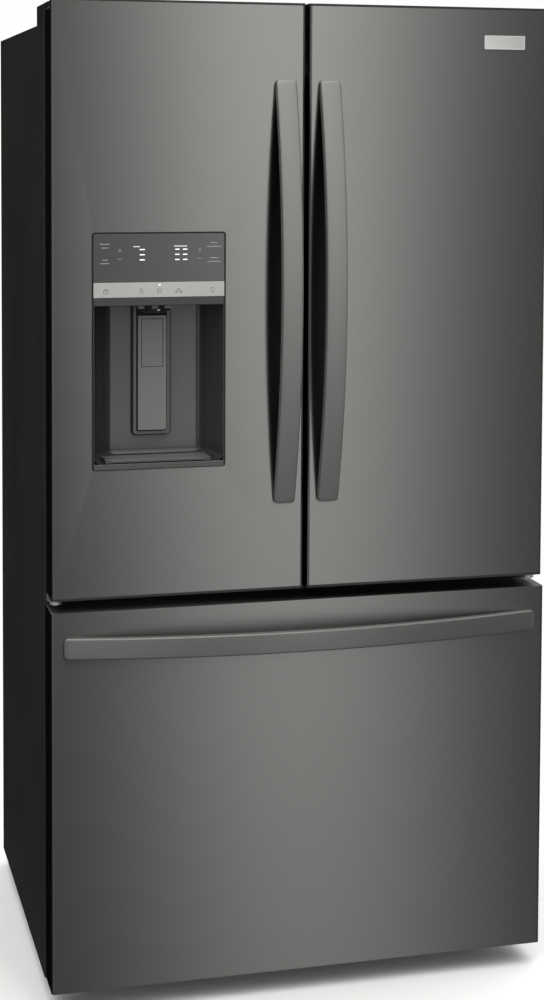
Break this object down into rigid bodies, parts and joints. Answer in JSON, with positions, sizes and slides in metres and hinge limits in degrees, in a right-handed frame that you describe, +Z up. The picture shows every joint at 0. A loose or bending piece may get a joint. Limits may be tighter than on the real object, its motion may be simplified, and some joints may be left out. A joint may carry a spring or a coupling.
{
  "type": "french door refrigerator",
  "caption": "Refrigerator with two side-by-side upper doors over a pull-out freezer drawer, bowed bar handles, and an ice and water dispenser recessed in the left door.",
  "frame": {"origin": "centre of the bounding box's bottom, on the floor", "axes": "+Z up, doors face -Y, +X to the right seen from the front"},
  "size_m": [0.908, 0.797, 1.766],
  "materials": {
    "stainless_door": "satin",
    "handle_steel": "satin",
    "cabinet_paint": "satin",
    "galvanised_steel": "satin",
    "slide_steel": "satin",
    "foam": "matte",
    "white_liner": "satin",
    "dark_caps": "satin",
    "gasket_grey": "matte",
    "clear_bins": "gloss",
    "shelf_trim": "satin",
    "basket_plastic": "satin",
    "dispenser_dark": "satin",
    "panel_glass": "gloss",
    "silver_trim": "satin",
    "badge": "satin",
    "mullion_paint": "satin",
    "aluminium_fins": "satin",
    "black_steel": "satin",
    "light_lens": "satin",
    "black_plastic": "matte"
  },
  "bodies": {
    "cabinet": {"cabinet_wrapper": "cabinet_paint", "back_panel": "galvanised_steel", "base_frame": "galvanised_steel", "foam_insulation": "foam", "fresh_food_liner": "white_liner", "freezer_liner": "white_liner", "divider_trim": "cabinet_paint", "door_hinges": "galvanised_steel", "hinge_covers": "dark_caps", "glass_shelves": "clear_bins", "shelf_frames": "shelf_trim", "air_duct_covers": "white_liner", "evaporator": "aluminium_fins", "led_lights": "light_lens", "ice_maker": "white_liner", "compressor": "black_steel", "condenser": "aluminium_fins", "fan_motor": "galvanised_steel", "machine_cover": "black_plastic", "water_valve": "black_plastic", "levelling_feet": "galvanised_steel", "roller_brackets": "galvanised_steel", "freezer_slide_outer": "slide_steel"},
    "left_door": {"door_left_skin": "stainless_door", "door_left_foam": "foam", "door_left_liner": "white_liner", "door_left_gasket": "gasket_grey", "door_left_end_caps": "dark_caps", "door_left_handle": "handle_steel", "door_left_bins": "clear_bins", "dispenser_housing": "dispenser_dark", "control_panel": "panel_glass", "dispenser_trim": "silver_trim", "dispenser_nozzle": "dispenser_dark"},
    "right_door": {"door_right_skin": "stainless_door", "door_right_foam": "foam", "door_right_liner": "white_liner", "door_right_gasket": "gasket_grey", "door_right_end_caps": "dark_caps", "door_right_handle": "handle_steel", "door_right_bins": "clear_bins", "badge_plate": "badge"},
    "mullion": {"mullion_flipper": "mullion_paint"},
    "paddle": {"dispenser_paddle": "dispenser_dark"},
    "drip_tray": {"drip_tray": "dispenser_dark"},
    "freezer_drawer": {"freezer_drawer_skin": "stainless_door", "freezer_drawer_foam": "foam", "freezer_drawer_liner": "white_liner", "freezer_drawer_gasket": "gasket_grey", "freezer_drawer_handle": "handle_steel", "freezer_lower_basket": "basket_plastic", "freezer_slide_inner": "slide_steel"},
    "slide_middles": {"freezer_slide_middle": "slide_steel"},
    "upper_basket": {"freezer_upper_basket": "basket_plastic"},
    "crisper_left": {"crisper_left": "clear_bins"},
    "crisper_right": {"crisper_right": "clear_bins"},
    "deli_drawer": {"deli_drawer": "clear_bins"},
    "fan": {"condenser_fan": "black_plastic"},
    "roller_left": {"roller_left": "black_plastic"},
    "roller_right": {"roller_right": "black_plastic"}
  },
  "joints": [
    {"name": "door_left_hinge", "type": "hinge", "parent": "cabinet", "child": "left_door", "pos_m": [-0.44, -0.3005, 1.25], "axis": [0, 0, -1], "range_deg": [0, 115]},
    {"name": "door_right_hinge", "type": "hinge", "parent": "cabinet", "child": "right_door", "pos_m": [0.44, -0.3005, 1.25], "axis": [0, 0, 1], "range_deg": [0, 115]},
    {"name": "freezer_drawer_slide", "type": "slide", "parent": "cabinet", "child": "freezer_drawer", "axis": [0, -1, 0], "range_m": [0, 0.45]},
    {"name": "freezer_middle_slide", "type": "slide", "parent": "cabinet", "child": "slide_middles", "axis": [0, -1, 0], "range_m": [0, 0.225]},
    {"name": "freezer_upper_basket_slide", "type": "slide", "parent": "freezer_drawer", "child": "upper_basket", "axis": [0, 1, 0], "range_m": [0, 0.12]},
    {"name": "fridge_crisper_left_slide", "type": "slide", "parent": "cabinet", "child": "crisper_left", "axis": [0, -1, 0], "range_m": [0, 0.05]},
    {"name": "fridge_crisper_right_slide", "type": "slide", "parent": "cabinet", "child": "crisper_right", "axis": [0, -1, 0], "range_m": [0, 0.05]},
    {"name": "fridge_deli_drawer_slide", "type": "slide", "parent": "cabinet", "child": "deli_drawer", "axis": [0, -1, 0], "range_m": [0, 0.05]},
    {"name": "dispenser_paddle_hinge", "type": "hinge", "parent": "left_door", "child": "paddle", "pos_m": [-0.26325, -0.2625, 1.212], "axis": [1, 0, 0], "range_deg": [0, 2.5], "stiffness_Nm_per_rad": 0.8, "springref_deg": -8.59},
    {"name": "dispenser_tray_slide", "type": "slide", "parent": "left_door", "child": "drip_tray", "axis": [0, -1, 0], "range_m": [0, 0.045]},
    {"name": "mullion_fold", "type": "hinge", "parent": "left_door", "child": "mullion", "pos_m": [-0.05, -0.2415, 1.222], "axis": [0, 0, 1], "range_deg": [-90, 0]},
    {"name": "rear_fan_spin", "type": "hinge", "parent": "cabinet", "child": "fan", "pos_m": [0.06, 0.2835, 0.124], "axis": [1, 0, 0], "continuous": true},
    {"name": "roller_left_spin", "type": "hinge", "parent": "cabinet", "child": "roller_left", "pos_m": [-0.38, 0.3135, 0.015], "axis": [1, 0, 0], "continuous": true},
    {"name": "roller_right_spin", "type": "hinge", "parent": "cabinet", "child": "roller_right", "pos_m": [0.38, 0.3135, 0.015], "axis": [1, 0, 0], "continuous": true}
  ],
  "couplings": [
    {"joint": "freezer_middle_slide", "follows": "freezer_drawer_slide", "ratio": 0.5}
  ]
}
